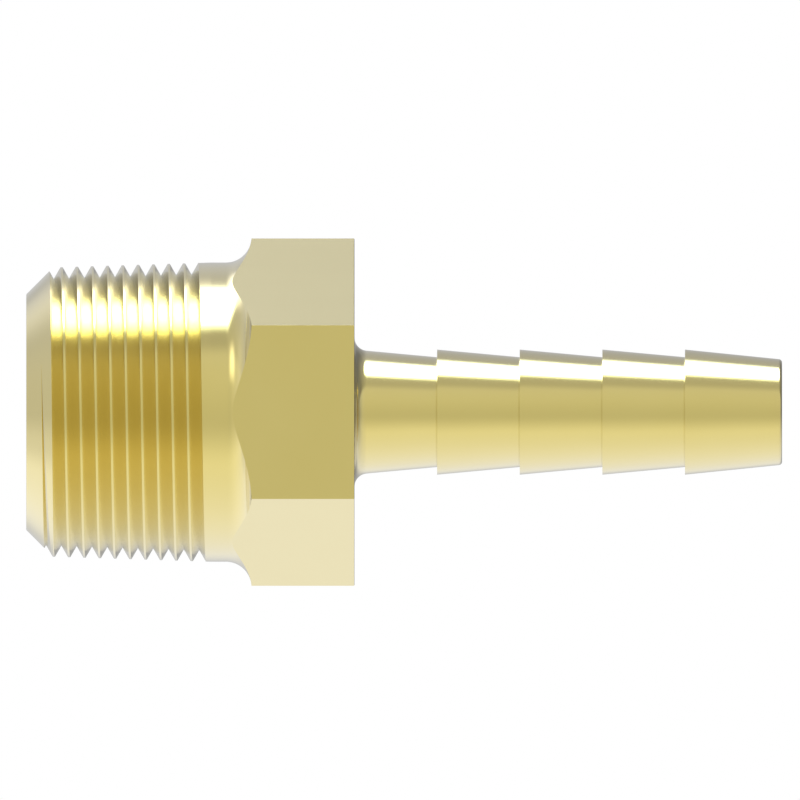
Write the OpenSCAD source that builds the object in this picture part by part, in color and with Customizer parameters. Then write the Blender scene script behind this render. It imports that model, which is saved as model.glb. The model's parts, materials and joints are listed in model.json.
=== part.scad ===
// Hose nipple: a tapered male pipe thread, a wrench hexagon and a barbed hose shank.
// It is one piece, turned from hexagon bar and bored right through.
// The origin is the centre of the thread-end face. +Z runs along the axis towards the hose end.
// Two flats of the hexagon face -Y and +Y, so two of its corners lie on the X axis.

/* [Pipe thread] */
// Diameter over the thread crests, measured at the end face
thread_d = 41.5; // [39:0.1:42]
// Number of threads in 25.4 mm
threads_per_inch = 11.5; // [8:0.5:14]
// Growth of the thread's diameter for each unit of its length
thread_taper = 0.0625; // [0.04:0.0025:0.07]
// Width of the flat that is left on each crest
crest_flat = 0.3; // [0.15:0.05:0.6]
// Angle between the two flanks of the groove
flank_angle = 60; // [50:1:60]
// Length from the end face to the end of the last full thread
thread_len = 25.9; // [18:0.1:36]
// Angle over which the groove runs out to nothing after its last full thread
runout_angle = 120; // [60:6:180]

/* [Lead-in chamfer] */
// Diameter of the flat end face
end_face_d = 34; // [28:0.5:37]
// Angle of the chamfer, measured from the axis
chamfer_angle = 45; // [30:1:50]

/* [Collar] */
// Length of the plain collar, from the thread to the hexagon
collar_len = 6.6; // [5:0.1:12]
// Radius of the fillet that flares the collar into the hexagon
collar_fillet_r = 3.7; // [2:0.1:4.5]

/* [Wrench hexagon] */
// Distance across the flats
hex_af = 43.4; // [43.2:0.1:50]
// Length along the axis
hex_len = 14.85; // [8:0.05:25]

/* [Hose shank] */
// Diameter over the sharp edge of each barb
barb_d = 18.05; // [17:0.05:20]
// Diameter at the foot of each barb
barb_root_d = 15.85; // [15:0.05:16.8]
// Number of barbs
barb_count = 5; // [2:1:7]
// Spacing of the barbs
barb_pitch = 11.92; // [6:0.02:15]
// Length of the last barb, which leads the hose on
tip_len = 14; // [8:0.1:18]
// Diameter at the hose end
tip_d = 15.2; // [14.6:0.05:15.8]
// Rounding of the outer edge at the hose end
tip_round_r = 0.3; // [0.1:0.05:0.6]
// Radius of the fillet where the shank leaves the hexagon
shank_fillet_r = 1.9; // [0.5:0.1:2.5]

/* [Bore] */
// Diameter of the bore
bore_d = 12.7; // [10:0.1:13.2]
// Width of the chamfer at both mouths of the bore
mouth_chamfer = 0.5; // [0.2:0.1:0.7]

/* [Hidden] */
$fn = 96;
brass = [0.80, 0.71, 0.42];
// How far a cutting shape runs past the surface that it cuts
cut_margin = 0.1;

// Stations along the axis
hex_z = thread_len + collar_len;
shank_z = hex_z + hex_len;
last_barb_z = shank_z + (barb_count - 1) * barb_pitch;
tip_z = last_barb_z + tip_len;

// Taper of the thread. It goes on to where the groove has run out, and the collar keeps that diameter.
pitch = 25.4 / threads_per_inch;
runout_end_z = thread_len + pitch * runout_angle / 360;
function crest_r(z) = (thread_d + thread_taper * min(z, runout_end_z)) / 2;
collar_r = crest_r(runout_end_z);
chamfer_len = (thread_d - end_face_d) / (2 * tan(chamfer_angle) - thread_taper);

// Section of the groove
flank_run = tan(flank_angle / 2);
groove_half_w = (pitch - crest_flat) / 2;
thread_depth = groove_half_w / flank_run;
cutter_h = thread_depth + cut_margin;
cutter_half_w = cutter_h * flank_run;

// Course of the groove, in steps of the sweep. It starts where its root comes out of the chamfer.
steps_per_turn = 60;
last_root_z = thread_len - groove_half_w;
entry_z = (crest_r(0) - thread_depth - end_face_d / 2) / (tan(chamfer_angle) - thread_taper / 2);
first_root_z = entry_z > 0 ? entry_z : -cutter_half_w;
full_steps = 1 + ceil(steps_per_turn * (last_root_z - first_root_z) / pitch);
runout_steps = round(steps_per_turn * runout_angle / 360);
groove_steps = full_steps + runout_steps;

// Slopes of the shank's cones, as angles from the axis
barb_angle = atan((barb_d - barb_root_d) / 2 / barb_pitch);
tip_angle = atan((barb_d - tip_d) / 2 / tip_len);

// Blank of the thread: end face, lead-in chamfer, tapered crests and collar
thread_outline = [
    [end_face_d / 2, 0],
    [crest_r(chamfer_len), chamfer_len],
    [collar_r, runout_end_z],
    [collar_r, hex_z - collar_fillet_r]
];

// Turned length of the hexagon. It is wider than the bar, so that the bar's flats bound it.
flare_r = collar_r + collar_fillet_r;
bar_corner_r = hex_af / (2 * cos(30));
hexagon_outline = [
    [flare_r, hex_z],
    [max(flare_r, bar_corner_r) + 1, hex_z],
    [max(flare_r, bar_corner_r) + 1, shank_z]
];

// Shank: the fillet's two ends, then a saw-tooth of cones that step out again at each barb
shank_fillet_c = [
    barb_d / 2 + shank_fillet_r * (1 / cos(barb_angle) - tan(barb_angle)),
    shank_z + shank_fillet_r
];
shank_outline = concat(
    [
        [shank_fillet_c.x, shank_z],
        shank_fillet_c - shank_fillet_r * [cos(barb_angle), sin(barb_angle)]
    ],
    [
        for (n = [1:barb_count - 1], d = [barb_root_d, barb_d])
            [d / 2, shank_z + n * barb_pitch]
    ]
);

// Hose end, with its outer edge rounded
tip_round_c = [
    tip_d / 2 - tip_round_r * (1 / cos(tip_angle) - tan(tip_angle)),
    tip_z - tip_round_r
];
tip_round_steps = 6;
tip_outline = [
    for (n = [0:tip_round_steps])
        let(a = tip_angle + (90 - tip_angle) * n / tip_round_steps)
        tip_round_c + tip_round_r * [cos(a), sin(a)]
];

// Half section of everything that the lathe turns
module turned_profile() {
    difference() {
        polygon(concat(
            [[0, 0]], thread_outline, hexagon_outline, shank_outline, tip_outline, [[0, tip_z]]
        ));
        translate([flare_r, hex_z - collar_fillet_r])
            circle(r = collar_fillet_r);
        translate(shank_fillet_c)
            circle(r = shank_fillet_r);
    }
}

// Bar whose flats are left standing as the wrench hexagon
module hexagon_bar() {
    translate([0, 0, -1])
        cylinder(h = tip_z + 2, r = bar_corner_r, $fn = 6);
}

// A point of the cutter's section at one step of the groove, from dr and dz off its tip.
// Past the last full thread the cutter is lifted evenly until it leaves the metal.
function cutter_point(step, dr, dz) =
    let(
        turn = (step - full_steps) / steps_per_turn,
        z = last_root_z + pitch * turn,
        lift = cutter_h * max(0, step - full_steps) / runout_steps,
        r = crest_r(z) - thread_depth + lift + dr
    )
    [r * cos(360 * turn), r * sin(360 * turn), z + dz];

// Helical V groove: a triangular section swept along the taper, right-handed
module thread_groove() {
    corners = [[0, 0], [cutter_h, -cutter_half_w], [cutter_h, cutter_half_w]];
    points = [
        for (step = [0:groove_steps], c = corners)
            cutter_point(step, c.x, c.y)
    ];
    walls = [
        for (step = [0:groove_steps - 1], side = [0:2])
            let(a = 3 * step + side, b = 3 * step + (side + 1) % 3)
            each [[a, b, b + 3], [a, b + 3, a + 3]]
    ];
    last = 3 * groove_steps;
    polyhedron(points, concat([[2, 1, 0]], walls, [[last, last + 1, last + 2]]));
}

// Bore right through, chamfered at both mouths
module through_bore() {
    mouth_r = bore_d / 2 + mouth_chamfer + cut_margin;
    translate([0, 0, -1])
        cylinder(h = tip_z + 2, d = bore_d);
    translate([0, 0, -cut_margin])
        cylinder(h = mouth_chamfer + cut_margin, r1 = mouth_r, r2 = bore_d / 2);
    translate([0, 0, tip_z - mouth_chamfer])
        cylinder(h = mouth_chamfer + cut_margin, r1 = bore_d / 2, r2 = mouth_r);
}

module hose_nipple() {
    color(brass)
        difference() {
            intersection() {
                rotate_extrude()
                    turned_profile();
                hexagon_bar();
            }
            thread_groove();
            through_bore();
        }
}

hose_nipple();
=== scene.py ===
import json
import math

import bmesh
import bpy
from mathutils import Matrix, Vector


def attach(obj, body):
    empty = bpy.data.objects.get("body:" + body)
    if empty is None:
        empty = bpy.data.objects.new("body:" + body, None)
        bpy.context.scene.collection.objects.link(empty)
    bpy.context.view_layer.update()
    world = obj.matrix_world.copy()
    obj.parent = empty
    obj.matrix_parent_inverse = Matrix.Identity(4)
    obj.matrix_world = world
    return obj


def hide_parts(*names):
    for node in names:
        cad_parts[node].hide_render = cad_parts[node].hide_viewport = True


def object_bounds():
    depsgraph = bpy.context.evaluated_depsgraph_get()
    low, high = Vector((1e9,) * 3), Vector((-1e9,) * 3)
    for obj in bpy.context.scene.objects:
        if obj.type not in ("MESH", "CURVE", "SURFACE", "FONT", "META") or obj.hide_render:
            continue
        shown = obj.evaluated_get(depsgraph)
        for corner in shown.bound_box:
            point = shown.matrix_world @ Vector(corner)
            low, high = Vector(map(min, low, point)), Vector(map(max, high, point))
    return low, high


# The hose nipple stands on its thread end, with +Z along its axis towards the hose end.
# It is one turned piece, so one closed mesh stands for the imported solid. The mesh is made of columns,
# which are lengthwise sections that follow one another round the axis.
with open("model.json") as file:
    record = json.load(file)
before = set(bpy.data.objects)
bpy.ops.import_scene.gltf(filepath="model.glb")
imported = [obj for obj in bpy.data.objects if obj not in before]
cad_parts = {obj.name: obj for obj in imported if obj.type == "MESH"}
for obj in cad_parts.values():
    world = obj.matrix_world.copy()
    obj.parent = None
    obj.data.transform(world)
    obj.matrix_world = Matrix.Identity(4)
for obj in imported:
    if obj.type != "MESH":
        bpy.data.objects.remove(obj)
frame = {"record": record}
cad_low, cad_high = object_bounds()

# Sizes in millimetres, as in the part's own model. What the frame gives is read from it.
MM = 0.001
mounts = {m["name"]: m for m in frame["record"]["mounts"]}
TIP_Z = cad_high.z / MM
THREAD_LEN = mounts["male_thread"]["dims"]["length_mm"]
SHANK_Z = TIP_Z - mounts["hose_shank"]["dims"]["length_mm"]
BARB_ROOT_R = mounts["hose_shank"]["dims"]["r_mm"]
BORE_R = mounts["flow_bore"]["dims"]["r_mm"]
# The piece is this much narrower across its flats than the solid, so that it stays within its box
FLAT_GAP = 0.00001
HEX_AF = (cad_high.y - cad_low.y) / MM - FLAT_GAP

THREAD_D = 41.5
THREADS_PER_INCH = 11.5
THREAD_TAPER = 0.0625
CREST_FLAT = 0.3
FLANK_ANGLE = 60
RUNOUT_ANGLE = 120
# How far the groove's cutter reaches past the crests
CUT_MARGIN = 0.1
END_FACE_R = 17
CHAMFER_ANGLE = 45
COLLAR_LEN = 6.6
COLLAR_FILLET_R = 3.7
BARB_R = 9.025
BARB_COUNT = 5
BARB_PITCH = 11.92
TIP_R = 7.6
TIP_LEN = 14
SHANK_FILLET_R = 1.9
MOUTH_CHAMFER = 0.5
# The round at the hose end is 0.2 more than the solid's, which gives the softer corner of the photograph
TIP_ROUND_R = 0.5

# Edges that the tool leaves are broken by this much, and the drawn bar has small rounds at its corners
EDGE_BREAK = 0.05
CREST_BREAK = 0.015
HEX_BREAK = 0.1
BAR_CORNER_R = 0.005
# Where a groove is shallow, as on the chamfer, its edges are broken by no more than this share of its depth
BREAK_SHARE = 0.25

# Number of even columns round the axis, and of steps in each round form
COLUMNS = 480
FLARE_STEPS = 16
FILLET_STEPS = 12
ROUND_STEPS = 6

# Finishes, in the order of the piece's material slots
TURNED, THREADED, DRAWN, BORED = range(4)


def crest_r(z):
    """Radius over the thread's crests, which stays the same past the thread's runout."""
    return (THREAD_D + THREAD_TAPER * min(z, RUNOUT_END_Z)) / 2


PITCH = 25.4 / THREADS_PER_INCH
RUNOUT_SHARE = RUNOUT_ANGLE / 360
RUNOUT_END_Z = THREAD_LEN + PITCH * RUNOUT_SHARE
COLLAR_R = crest_r(RUNOUT_END_Z)
HEX_Z = THREAD_LEN + COLLAR_LEN
TAPER_SLOPE = THREAD_TAPER / 2
CHAMFER_SLOPE = math.tan(math.radians(CHAMFER_ANGLE))
CHAMFER_LEN = (THREAD_D / 2 - END_FACE_R) / (CHAMFER_SLOPE - TAPER_SLOPE)
FLANK_HALF = math.radians(FLANK_ANGLE / 2)
FLANK_SLOPE = 1 / math.tan(FLANK_HALF)
GROOVE_HALF_W = (PITCH - CREST_FLAT) / 2
THREAD_DEPTH = GROOVE_HALF_W * FLANK_SLOPE
LAST_ROOT_Z = THREAD_LEN - GROOVE_HALF_W
CUTTER_LIFT = THREAD_DEPTH + CUT_MARGIN
BARB_SLOPE = (BARB_R - BARB_ROOT_R) / BARB_PITCH
TIP_SLOPE = (BARB_R - TIP_R) / TIP_LEN
# Number of the turn in which the groove runs out. The turns before it count down to the end face.
LAST_TURN = 12

# The hexagon's corners: their spacing in degrees, and the rounds' centres and half widths in radians
CORNER_STEP = 60
CORNER_TO_FLAT = math.radians(CORNER_STEP / 2)
CORNER_CENTRE_R = (HEX_AF / 2 - BAR_CORNER_R) / math.cos(CORNER_TO_FLAT)
CORNER_HALF = math.atan2(
    BAR_CORNER_R * math.sin(CORNER_TO_FLAT),
    CORNER_CENTRE_R + BAR_CORNER_R * math.cos(CORNER_TO_FLAT),
)
# Angles that differ by less than this are the same
ANGLE_HAIR = 1e-9

# Angles that the surface faces in a lengthwise section: 0 is away from the axis, 90 towards the hose end
FACE_DOWN, FACE_UP, FACE_IN = -90, 90, 180
UPPER_MOUTH_FACES, LOWER_MOUTH_FACES = 135, 225
CREST_FACES = -math.degrees(math.atan(TAPER_SLOPE))
FLANK_FACES = 90 - FLANK_ANGLE / 2
BARB_FACES = math.degrees(math.atan(BARB_SLOPE))
TIP_FACES = math.degrees(math.atan(TIP_SLOPE))


class Column:
    """One lengthwise section of the surface, as a closed run of points.

    Each point has a label that it shares with its neighbours in the next columns, its height and radius,
    and the unit normals of the surface before and after it.
    """

    def __init__(self, degrees):
        self.angle = math.radians(degrees)
        self.labels = []
        self.places = []
        self.before = []
        self.after = []

    def normal(self, faces):
        """Normal of a turned surface that faces this way in the section."""
        a = math.radians(faces)
        out = math.cos(a)
        return Vector((out * math.cos(self.angle), out * math.sin(self.angle), math.sin(a)))

    def add(self, label, z, r, before, after=None):
        """Adds a point. before and after are directions in the section, or normals ready made."""
        after = before if after is None else after
        self.labels.append(label)
        self.places.append((z, r))
        self.before.append(before if isinstance(before, Vector) else self.normal(before))
        self.after.append(after if isinstance(after, Vector) else self.normal(after))

    def edge(self, label, z, r, before, after, size=EDGE_BREAK):
        """Adds a convex edge between surfaces that face before and after.

        It is broken by a narrow facet, which is shaded like a round.
        """
        a, b = math.radians(before), math.radians(after)
        self.add(f"{label} a", z - size * math.cos(a), r + size * math.sin(a), before)
        self.add(f"{label} b", z + size * math.cos(b), r - size * math.sin(b), after)

    def arc(self, label, z, r, radius, start, end, steps):
        """Adds a round of this centre, from facing start to facing end. A hollow one has a radius below 0."""
        for n in range(steps + 1):
            faces = start + (end - start) * n / steps
            a = math.radians(faces)
            self.add(f"{label} {n}", z + radius * math.sin(a), r + radius * math.cos(a), faces)

    def point(self, n):
        """Place of a point in the scene, in metres."""
        z, r = self.places[n]
        return Vector((r * math.cos(self.angle), r * math.sin(self.angle), z)) * MM


def grooves(degrees):
    """Turn number, height, radius and lift of each thread groove that a section at this angle cuts."""
    share = degrees / 360
    first = math.ceil(LAST_TURN - LAST_ROOT_Z / PITCH - share)
    for turn in range(first, LAST_TURN + 1):
        z = LAST_ROOT_Z + PITCH * (turn + share - LAST_TURN)
        lift = CUTTER_LIFT * max(0, turn + share - LAST_TURN) / RUNOUT_SHARE
        r = crest_r(z) - THREAD_DEPTH + lift
        if lift < THREAD_DEPTH and r < END_FACE_R + CHAMFER_SLOPE * z:
            yield turn, z, r, lift


def flank_top(z, r, side):
    """Where a groove's flank leaves the metal, on the chamfer or on the crests. side is -1 or 1."""
    depth = crest_r(z) - r
    reach = depth / (FLANK_SLOPE - side * TAPER_SLOPE)
    if z + side * reach < CHAMFER_LEN:
        depth = END_FACE_R + CHAMFER_SLOPE * z - r
        reach = depth / (FLANK_SLOPE - side * CHAMFER_SLOPE)
    return z + side * reach, r + reach * FLANK_SLOPE


def flank_normals(column, r, lift):
    """Normals of a groove's falling and rising flank.

    The groove climbs as it goes round, so its flanks are square to that course, not to the section.
    """
    rise = CUTTER_LIFT / (RUNOUT_SHARE * math.tau) if lift else 0
    out = column.normal(0)
    along = Vector((-math.sin(column.angle), math.cos(column.angle), 0))
    course = (along * r + out * rise + Vector((0, 0, PITCH / math.tau))).normalized()
    flanks = [column.normal(faces) for faces in (FLANK_FACES, -FLANK_FACES)]
    return [(n - course * n.dot(course)).normalized() for n in flanks]


def add_thread(column, degrees):
    """Adds the chamfered and threaded length."""
    chamfer_top_done = False
    for turn, z, r, lift in grooves(degrees):
        start, end = flank_top(z, r, -1), flank_top(z, r, 1)
        if start[0] > CHAMFER_LEN and not chamfer_top_done:
            column.add("chamfer top", CHAMFER_LEN, crest_r(CHAMFER_LEN), -CHAMFER_ANGLE, CREST_FACES)
        chamfer_top_done = chamfer_top_done or end[0] > CHAMFER_LEN
        falling, rising = flank_normals(column, r, lift)
        before = -CHAMFER_ANGLE if start[0] < CHAMFER_LEN else CREST_FACES
        after = -CHAMFER_ANGLE if end[0] < CHAMFER_LEN else CREST_FACES
        size = min(CREST_BREAK, (start[1] - r) * BREAK_SHARE, (end[1] - r) * BREAK_SHARE)
        drop, run = size * math.cos(FLANK_HALF), size * math.sin(FLANK_HALF)
        slope_before, slope_after = (math.tan(math.radians(-faces)) for faces in (before, after))
        column.add(("start", turn), start[0] - size, start[1] - size * slope_before, before)
        column.add(("falling", turn), start[0] + run, start[1] - drop, falling)
        column.add(("root", turn), z, r, falling, rising)
        column.add(("rising", turn), end[0] - run, end[1] - drop, rising)
        column.add(("end", turn), end[0] + size, end[1] + size * slope_after, after)
    column.add("runout", RUNOUT_END_Z, COLLAR_R, CREST_FACES, 0)


def bar_at(degrees):
    """Radius of the hexagon bar at an angle, and the angle in radians that its surface faces there."""
    corner = round(degrees / CORNER_STEP) * CORNER_STEP
    off = math.radians(degrees - corner)
    if abs(off) < CORNER_HALF - ANGLE_HAIR:
        across = CORNER_CENTRE_R * math.sin(off)
        r = CORNER_CENTRE_R * math.cos(off) + math.sqrt(BAR_CORNER_R**2 - across**2)
        faces = math.atan2(r * math.sin(off), r * math.cos(off) - CORNER_CENTRE_R)
        return r, math.radians(corner) + faces
    flat = math.radians(corner + math.copysign(CORNER_STEP / 2, off))
    return HEX_AF / 2 / math.cos(math.radians(degrees) - flat), flat


def add_hexagon(column, degrees):
    """Adds the flare from the collar and the hexagon, up to its upper face."""
    bar_r, facing = bar_at(degrees)
    flat = Vector((math.cos(facing), math.sin(facing), 0))
    centre_z, centre_r = HEX_Z - COLLAR_FILLET_R, COLLAR_R + COLLAR_FILLET_R
    end = -math.degrees(math.acos((centre_r - bar_r) / COLLAR_FILLET_R))
    column.arc("flare", centre_z, centre_r, -COLLAR_FILLET_R, 0, end, FLARE_STEPS)
    column.after[-1] = flat
    inner_r = bar_r * (1 - HEX_BREAK / (HEX_AF / 2))
    column.add("hexagon edge a", SHANK_Z - HEX_BREAK, bar_r, flat)
    column.add("hexagon edge b", SHANK_Z, inner_r, FACE_UP)


def add_shank(column):
    """Adds the barbed shank, up to its rounded end."""
    fillet_z = SHANK_Z + SHANK_FILLET_R
    fillet_r = BARB_R + SHANK_FILLET_R * (1 / math.cos(math.radians(BARB_FACES)) - BARB_SLOPE)
    column.arc("shank fillet", fillet_z, fillet_r, -SHANK_FILLET_R, FACE_UP, BARB_FACES, FILLET_STEPS)
    for n in range(1, BARB_COUNT):
        z = SHANK_Z + n * BARB_PITCH
        faces = TIP_FACES if n == BARB_COUNT - 1 else BARB_FACES
        column.add(f"barb foot {n}", z, BARB_ROOT_R, BARB_FACES, FACE_DOWN)
        column.edge(f"barb {n}", z, BARB_R, FACE_DOWN, faces, CREST_BREAK)
    round_r = TIP_R - TIP_ROUND_R * (1 / math.cos(math.radians(TIP_FACES)) - TIP_SLOPE)
    column.arc("tip", TIP_Z - TIP_ROUND_R, round_r, TIP_ROUND_R, TIP_FACES, FACE_UP, ROUND_STEPS)


def add_bore(column):
    """Adds the hose end's face, the bore and both its mouths."""
    mouth_r = BORE_R + MOUTH_CHAMFER
    column.edge("upper mouth", TIP_Z, mouth_r, FACE_UP, UPPER_MOUTH_FACES)
    column.edge("bore top", TIP_Z - MOUTH_CHAMFER, BORE_R, UPPER_MOUTH_FACES, FACE_IN)
    column.edge("bore foot", MOUTH_CHAMFER, BORE_R, FACE_IN, LOWER_MOUTH_FACES)
    column.edge("lower mouth", 0, mouth_r, LOWER_MOUTH_FACES, FACE_DOWN)


def column_at(degrees):
    """The whole section at this angle, from the outer edge of the end face to its inner edge."""
    column = Column(degrees)
    column.edge("end face", 0, END_FACE_R, FACE_DOWN, -CHAMFER_ANGLE)
    add_thread(column, degrees)
    add_hexagon(column, degrees)
    add_shank(column)
    add_bore(column)
    return column


def column_angles():
    """Even steps, and extra columns across each rounded corner of the bar."""
    half = math.degrees(CORNER_HALF)
    angles = {n * 360 / COLUMNS for n in range(COLUMNS)}
    for corner in range(0, 360, CORNER_STEP):
        angles |= {(corner + half * share) % 360 for share in (-1, -0.5, 0.5, 1)}
    return sorted(angles)


def a_turn_back(label):
    """The label that a groove's point has one turn earlier, when the columns close up."""
    return label if isinstance(label, str) else (label[0], label[1] - 1)


def finish_after(label):
    """The finish of the surface that follows a point of this label."""
    if not isinstance(label, str):
        return THREADED if label[0] in ("falling", "root") else TURNED
    if label == f"flare {FLARE_STEPS}":
        return DRAWN
    if label in ("bore top b", "upper mouth b", "bore foot b"):
        return BORED
    return TURNED


class Skin:
    """Collects the faces between the columns, with a normal for each face corner."""

    def __init__(self):
        self.verts = []
        self.faces = []
        self.normals = []
        self.finishes = []

    def face(self, corners, finish):
        """Adds a face. Each corner is the number of a point and the normal there."""
        self.faces.append([c[0] for c in corners])
        self.normals += [c[1] for c in corners]
        self.finishes.append(finish)

    def band(self, left, left_start, right, right_start, right_labels):
        """Joins two neighbouring columns, label by label.

        A point that only one of the columns has makes a triangle.
        """
        size_l, size_r = len(left.labels), len(right_labels)
        has_l, has_r = set(left.labels), set(right_labels)
        i = j = 0
        while i < size_l or j < size_r:
            here_l, here_r = i % size_l, j % size_r
            next_l, next_r = (i + 1) % size_l, (j + 1) % size_r
            near = [
                (left_start + here_l, left.after[here_l]),
                (right_start + here_r, right.after[here_r]),
            ]
            far_l = (left_start + next_l, left.before[next_l])
            far_r = (right_start + next_r, right.before[next_r])
            step_l = i < size_l and left.labels[next_l] not in has_r
            step_r = not step_l and j < size_r and right_labels[next_r] not in has_l
            if step_l:
                far = [far_l]
                i += 1
            elif step_r:
                far = [far_r]
                j += 1
            else:
                far = [far_r, far_l]
                i += 1
                j += 1
            self.face(near + far, finish_after(left.labels[here_l]))


def build_nipple():
    """The whole piece, closed round the axis."""
    columns = [column_at(degrees) for degrees in column_angles()]
    skin = Skin()
    starts = []
    for column in columns:
        starts.append(len(skin.verts))
        skin.verts += [column.point(n) for n in range(len(column.labels))]
    for n, left in enumerate(columns):
        closing = n == len(columns) - 1
        m = 0 if closing else n + 1
        right = columns[m]
        labels = [a_turn_back(x) for x in right.labels] if closing else right.labels
        skin.band(left, starts[n], right, starts[m], labels)
    mesh = bpy.data.meshes.new("hose_nipple_body")
    mesh.from_pydata(skin.verts, [], skin.faces)
    mesh.polygons.foreach_set("material_index", skin.finishes)
    mesh.polygons.foreach_set("use_smooth", [True] * len(skin.faces))
    mesh.update()
    mesh.normals_split_custom_set(skin.normals)
    nipple = bpy.data.objects.new("nipple", mesh)
    bpy.context.collection.objects.link(nipple)
    return nipple


class Nodes:
    """Builds a node tree from short calls."""

    def __init__(self, tree):
        self.tree = tree
        tree.nodes.clear()

    def add(self, kind, inputs=None, **settings):
        """A node of this kind. inputs are values or sockets, by name or number."""
        node = self.tree.nodes.new(kind)
        for name, value in settings.items():
            setattr(node, name, value)
        for key, value in (inputs or {}).items():
            if isinstance(value, bpy.types.NodeSocket):
                self.tree.links.new(value, node.inputs[key])
            else:
                node.inputs[key].default_value = value
        return node

    def math(self, operation, *values):
        return self.add("ShaderNodeMath", dict(enumerate(values)), operation=operation).outputs[0]

    def scaled(self, value, factor):
        return self.math("MULTIPLY", value, factor)

    def rising(self, value, low, high, start=0.0, end=1.0):
        """A smooth step of value, from start at low to end at high."""
        inputs = {"Value": value, "From Min": low, "From Max": high, "To Min": start, "To Max": end}
        return self.add("ShaderNodeMapRange", inputs, interpolation_type="SMOOTHSTEP").outputs[0]

    def noise(self, place, scale, detail):
        inputs = {"Vector": place, "Scale": scale, "Detail": detail}
        return self.add("ShaderNodeTexNoise", inputs).outputs["Fac"]

    def mixed(self, share, low, high):
        """A level between low and high."""
        return self.add("ShaderNodeMix", {0: share, 2: low, 3: high}, data_type="FLOAT").outputs[0]

    def blended(self, share, low, high):
        """A colour between low and high."""
        return self.add("ShaderNodeMix", {0: share, 6: low, 7: high}, data_type="RGBA").outputs[2]


# Brass, as it mirrors head on, and the paler mirror that polished brass is at a glance
BRASS = (0.886, 0.740, 0.252, 1)
GLANCE = (0.886, 0.87, 0.80, 1)
GLANCE_POWER = 1.1
EDGE_TINT = (0.94, 0.94, 0.94, 1)
# Share by which each channel of the brass varies over its surface
CLOUD_SHARES = (0.015, 0.02, 0.05, 0)
# Number of such clouds in a metre
CLOUDS = 120.0
# How often in a metre a tool mark changes along its own course, round the axis and lengthwise
ROUND_CHANGES = 25.0
LENGTH_CHANGES = 40.0

# Each finish: name, marks in a millimetre, their course, roughness, its unevenness and the marks' height
FINISHES = (
    ("turned_brass", 5.0, "circles", 0.12, 0.02, 0.00002),
    ("threaded_brass", 5.0, "circles", 0.18, 0.01, 0.00001),
    ("drawn_brass", 3.0, "length", 0.12, 0.02, 0.00001),
    ("bored_brass", 3.0, "circles", 0.26, 0.06, 0.0002),
)


def mark_course(nodes, place, marks_per_mm, marks_along):
    """Where a point lies among the tool marks, stretched along the course that the tool took."""
    x, y, z = nodes.add("ShaderNodeSeparateXYZ", {0: place}).outputs
    across = marks_per_mm / MM
    if marks_along == "circles":
        squares = nodes.math("ADD", nodes.math("POWER", x, 2.0), nodes.math("POWER", y, 2.0))
        section = nodes.math("ADD", z, nodes.math("SQRT", squares))
        stretches = (section, across), (x, ROUND_CHANGES), (y, ROUND_CHANGES)
    else:
        stretches = (x, across), (y, across), (z, LENGTH_CHANGES)
    course = {n: nodes.scaled(*stretch) for n, stretch in enumerate(stretches)}
    return nodes.add("ShaderNodeCombineXYZ", course).outputs[0]


def brass(name, marks_per_mm, marks_along, roughness, unevenness, mark_height):
    """Polished brass with fine tool marks, which run in circles round the axis or along its length."""
    material = bpy.data.materials.new(name)
    material.use_nodes = True
    nodes = Nodes(material.node_tree)
    place = nodes.add("ShaderNodeTexCoord").outputs["Object"]
    course = mark_course(nodes, place, marks_per_mm, marks_along)
    marks = nodes.noise(course, scale=1.0, detail=2.0)
    smoothest, roughest = roughness - unevenness, roughness + unevenness
    limits = {"Value": marks, "To Min": smoothest, "To Max": roughest}
    gloss = nodes.add("ShaderNodeMapRange", limits).outputs[0]
    dark, light = ([c * (1 + way * s) for c, s in zip(BRASS, CLOUD_SHARES)] for way in (-1, 1))
    tone = nodes.blended(nodes.noise(place, scale=CLOUDS, detail=3.0), dark, light)
    relief = {"Strength": 1.0, "Distance": mark_height * MM, "Height": marks}
    ridges = nodes.add("ShaderNodeBump", relief).outputs[0]
    polish = {"Metallic": 1.0, "Roughness": gloss, "Specular Tint": EDGE_TINT, "Normal": ridges}
    head_on = nodes.add("ShaderNodeBsdfPrincipled", {"Base Color": tone, **polish})
    glance = nodes.add("ShaderNodeBsdfPrincipled", {"Base Color": GLANCE, **polish})
    facing = nodes.add("ShaderNodeLayerWeight", {"Blend": 0.5, "Normal": ridges}).outputs["Facing"]
    share = nodes.math("POWER", facing, GLANCE_POWER)
    mix = nodes.add("ShaderNodeMixShader", {0: share, 1: head_on.outputs[0], 2: glance.outputs[0]})
    nodes.add("ShaderNodeOutputMaterial", {0: mix.outputs[0]})
    return material


# The light tent, by the angle round it and the height in degrees. At angle 0 is the side that the main view's
# camera is on, and at 90 is -X, which is above in that view. Left and right are as the object sees them.
# Each wall has its own levels from the floor to the roof.
WALL_LEFT = (
    (-90, 0.61), (-76, 0.78), (-62, 1.0), (-45, 1.03), (0, 0.95),
    (30, 0.84), (50, 0.75), (65, 0.60), (80, 0.34), (90, 0.31),
)
WALL_FRONT = (
    (-90, 0.61), (-55, 0.73), (-33, 0.69), (-16, 0.63), (0, 0.65),
    (10, 0.632), (40, 0.63), (60, 0.53), (80, 0.34), (90, 0.31),
)
WALL_RIGHT = (
    (-90, 0.61), (-60, 0.64), (-45, 0.59), (-10, 0.55), (0, 0.48), (10, 0.50),
    (20, 0.44), (30, 0.38), (60, 0.23), (80, 0.30), (90, 0.31),
)
WALL_BACK = (
    (-90, 0.61), (-60, 0.52), (-45, 0.75), (-32, 0.72), (-20, 0.57), (-8, 0.64),
    (0, 0.60), (6, 0.455), (11, 0.36), (17, 0.30), (30, 0.185), (60, 0.16),
)
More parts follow.
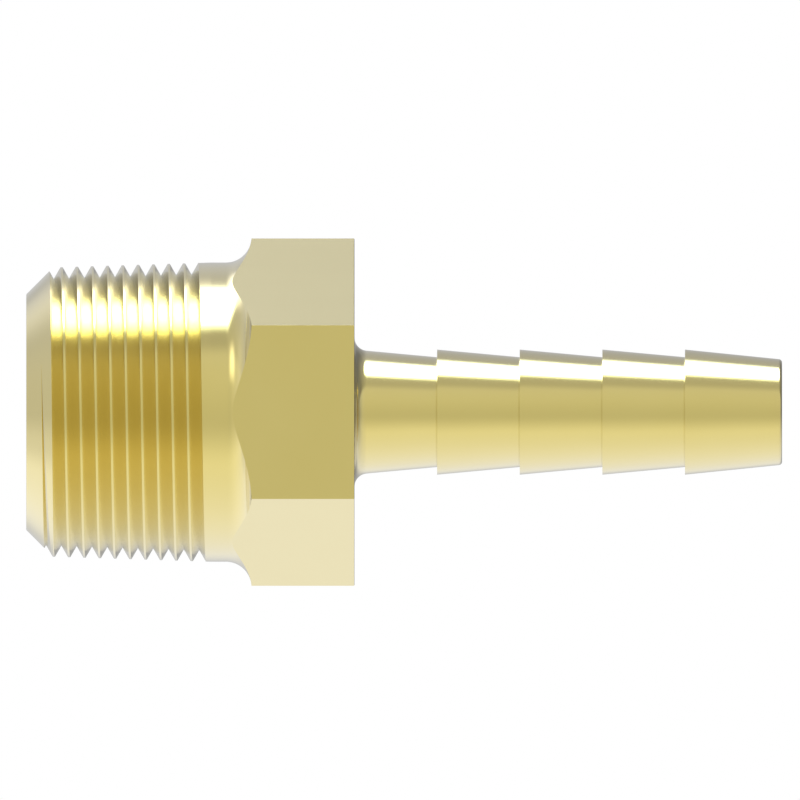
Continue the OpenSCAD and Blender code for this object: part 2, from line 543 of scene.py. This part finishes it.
# Angles over which each wall fades in over the ones before it. The left wall comes in by two shares, and
# fades out again behind. The front wall's last two values are the factors at the ends of its own fade.
RIGHT_FADE = (42, 57)
BACK_FADES = (95, 150), (-90, -95)
LEFT_FADES = (-6, -44, 0.0, 0.84), (-50, -105, 0.0, 0.16)
LEFT_FADE_OUT = (-180, -140)
FRONT_FADE = (-10, 32, 0.94, 1.06)

# Bright panels: the level that each adds, and its corners. A corner is an angle, a height and the softness
# of the edge that starts there, in degrees.
SOFTBOX = 9.0, ((83.3, 22, 9), (107, 14, 13), (100.5, -26, 9), (70.8, -4.5, 9))
REAR_LAMP = 2.9, ((107, -4, 13), (131, -12.4, 13), (139, -24, 13), (124, -39, 13), (104, -31, 13))
LOW_LAMP = 0.97, ((29, -16, 8), (52, -16, 8), (56, -31, 8), (30, -36, 8))
FLOOR_GLOW = 0.1, ((44, -44, 10), (72, -44, 10), (82, -66, 10), (42, -70, 10))
SOFTBOX_TINT = (0.86, 1.0, 0.97, 1)
WHITE = (1, 1, 1, 1)

# Radius of the tent in metres, and how often its ball is divided
TENT_R = 3.0
TENT_DIVISIONS = 5


def direction(angle, height):
    """Unit vector towards a place on the tent."""
    a, h = math.radians(angle), math.radians(height)
    return Vector((-math.sin(a) * math.cos(h), -math.cos(a) * math.cos(h), math.sin(h)))


def by_height(nodes, height, levels):
    """A wall's level at a height, from its list of stops."""
    place = nodes.add("ShaderNodeMapRange", {"Value": height, "From Min": -90.0, "From Max": 90.0}).outputs[0]
    ramp_node = nodes.add("ShaderNodeValToRGB", {0: place})
    ramp = ramp_node.color_ramp
    ramp.interpolation = "EASE"
    while len(ramp.elements) < len(levels):
        ramp.elements.new(1.0)
    for stop, (degrees, level) in zip(ramp.elements, levels):
        stop.position = (degrees + 90) / 180
        stop.color = (level, level, level, 1)
    return ramp_node.outputs[0]


def panel(nodes, way, level, corners):
    """Light of a panel whose corners lie in these directions, taken clockwise as the object sees them."""
    total = level
    for start, end in zip(corners, corners[1:] + corners[:1]):
        inward = direction(*start[:2]).cross(direction(*end[:2])).normalized()
        reach = math.sin(math.radians(start[2]))
        inputs = {0: way, 1: inward}
        side = nodes.add("ShaderNodeVectorMath", inputs, operation="DOT_PRODUCT").outputs["Value"]
        total = nodes.scaled(nodes.rising(side, -reach, reach), total)
    return total


def tent_level(nodes, angle, height):
    """Level of the walls, each laid over the ones before it."""
    right = nodes.rising(angle, *RIGHT_FADE)
    back = nodes.math("MAXIMUM", *[nodes.rising(angle, *fade) for fade in BACK_FADES])
    left = nodes.math("ADD", *[nodes.rising(angle, *fade) for fade in LEFT_FADES])
    left = nodes.math("MULTIPLY", nodes.rising(angle, *LEFT_FADE_OUT), left)
    level = nodes.math("MULTIPLY", by_height(nodes, height, WALL_FRONT), nodes.rising(angle, *FRONT_FADE))
    for share, wall in ((right, WALL_RIGHT), (back, WALL_BACK), (left, WALL_LEFT)):
        level = nodes.mixed(share, level, by_height(nodes, height, wall))
    return level


def tent_light():
    """Emission of the tent that the metal mirrors."""
    material = bpy.data.materials.new("tent_light")
    material.use_nodes = True
    nodes = Nodes(material.node_tree)
    place = nodes.add("ShaderNodeNewGeometry").outputs["Position"]
    way = nodes.add("ShaderNodeVectorMath", {0: place}, operation="NORMALIZE").outputs[0]
    x, y, z = nodes.add("ShaderNodeSeparateXYZ", {0: way}).outputs
    angle = nodes.math("DEGREES", nodes.math("ARCTAN2", nodes.scaled(x, -1.0), nodes.scaled(y, -1.0)))
    height = nodes.math("DEGREES", nodes.math("ARCSINE", z))
    level = tent_level(nodes, angle, height)
    for lamp in (REAR_LAMP, LOW_LAMP, FLOOR_GLOW):
        level = nodes.math("ADD", level, panel(nodes, way, *lamp))
    box = panel(nodes, way, *SOFTBOX)
    level = nodes.math("ADD", level, box)
    tint = nodes.blended(nodes.math("DIVIDE", box, level), WHITE, SOFTBOX_TINT)
    glow = nodes.add("ShaderNodeEmission", {"Color": tint, "Strength": level})
    nodes.add("ShaderNodeOutputMaterial", {0: glow.outputs[0]})
    return material


def build_tent():
    """A light tent round the whole set, which only mirrors see."""
    mesh = bpy.data.meshes.new("tent")
    ball = bmesh.new()
    bmesh.ops.create_icosphere(ball, subdivisions=TENT_DIVISIONS, radius=TENT_R)
    ball.to_mesh(mesh)
    ball.free()
    tent = bpy.data.objects.new("tent", mesh)
    bpy.context.collection.objects.link(tent)
    tent.data.materials.append(tent_light())
    tent.visible_camera = False
    tent.visible_diffuse = False
    tent.visible_transmission = False
    tent.visible_shadow = False


# Half the floor's width in metres, its colour, and the level of light that the white world casts on it
FLOOR_REACH = 2.5
FLOOR_PAPER = (0.90, 0.90, 0.90, 1)
WORLD_LEVEL = 0.65

# The lamp that casts the shadow: its width and place in metres, and its power in watts
LAMP_SIZE = 0.6
LAMP_PLACE = (0.7, -0.6, 0.9)
LAMP_POWER = 4.5


def build_floor():
    """A plain pale floor under the thread end."""
    mesh = bpy.data.meshes.new("floor")
    corners = [(-1, -1), (1, -1), (1, 1), (-1, 1)]
    mesh.from_pydata([(FLOOR_REACH * x, FLOOR_REACH * y, 0) for x, y in corners], [], [(0, 1, 2, 3)])
    floor = bpy.data.objects.new("floor", mesh)
    bpy.context.collection.objects.link(floor)
    material = bpy.data.materials.new("floor_paper")
    material.use_nodes = True
    nodes = Nodes(material.node_tree)
    paper = nodes.add("ShaderNodeBsdfDiffuse", {"Color": FLOOR_PAPER})
    nodes.add("ShaderNodeOutputMaterial", {0: paper.outputs[0]})
    mesh.materials.append(material)
    floor.visible_glossy = False


def build_world():
    """White where the camera and the metal look, and a plain level of light on the floor."""
    world = bpy.data.worlds.new("studio")
    bpy.context.scene.world = world
    world.use_nodes = True
    nodes = Nodes(world.node_tree)
    path = nodes.add("ShaderNodeLightPath").outputs
    seen = nodes.math("MAXIMUM", path["Is Camera Ray"], path["Is Glossy Ray"])
    seen = nodes.math("MAXIMUM", seen, path["Is Transmission Ray"])
    limits = {"Value": seen, "To Min": WORLD_LEVEL, "To Max": 1.0}
    strength = nodes.add("ShaderNodeMapRange", limits).outputs[0]
    background = nodes.add("ShaderNodeBackground", {"Color": WHITE, "Strength": strength})
    nodes.add("ShaderNodeOutputWorld", {0: background.outputs[0]})


def build_lamp():
    """One large lamp, which gives the floor the object's soft shadow."""
    light = bpy.data.lights.new("key", "AREA")
    light.shape = "DISK"
    light.size = LAMP_SIZE
    light.energy = LAMP_POWER
    lamp = bpy.data.objects.new("key", light)
    bpy.context.collection.objects.link(lamp)
    lamp.location = LAMP_PLACE
    lamp.rotation_euler = (-lamp.location).to_track_quat("-Z", "Y").to_euler()
    lamp.visible_glossy = False


# The main view is square to the axis, with the hose end to the right.
# In pixels of the photograph: its width, and where the thread end's face and the axis lie
PHOTO_SIZE = 800
END_FACE_PX = 26.27
AXIS_PX = 412.12
# Millimetres to a pixel
PIXEL = 0.14426
# In metres: how far off the camera stands, and the nearest and farthest that it sees
CAMERA_DISTANCE = 0.6
CLIP_START, CLIP_END = 0.01, 10


def build_camera():
    """A parallel view that lays the render over the photograph."""
    data = bpy.data.cameras.new("camera")
    data.type = "ORTHO"
    data.ortho_scale = PHOTO_SIZE * PIXEL * MM
    data.clip_start = CLIP_START
    data.clip_end = CLIP_END
    camera = bpy.data.objects.new("camera", data)
    bpy.context.collection.objects.link(camera)
    right, up, back = Vector((0, 0, 1)), Vector((-1, 0, 0)), Vector((0, -1, 0))
    middle_z = (PHOTO_SIZE / 2 - END_FACE_PX) * PIXEL * MM
    middle_x = (PHOTO_SIZE / 2 - AXIS_PX) * PIXEL * MM
    turn = Matrix((right, up, back)).transposed().to_4x4()
    camera.matrix_world = Matrix.Translation((middle_x, -CAMERA_DISTANCE, middle_z)) @ turn
    bpy.context.scene.camera = camera


nipple = build_nipple()
for finish in FINISHES:
    nipple.data.materials.append(brass(*finish))
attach(nipple, "root")
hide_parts("hose_nipple")

build_floor()
build_tent()
build_world()
build_lamp()
build_camera()
bpy.context.scene.view_settings.view_transform = "Standard"
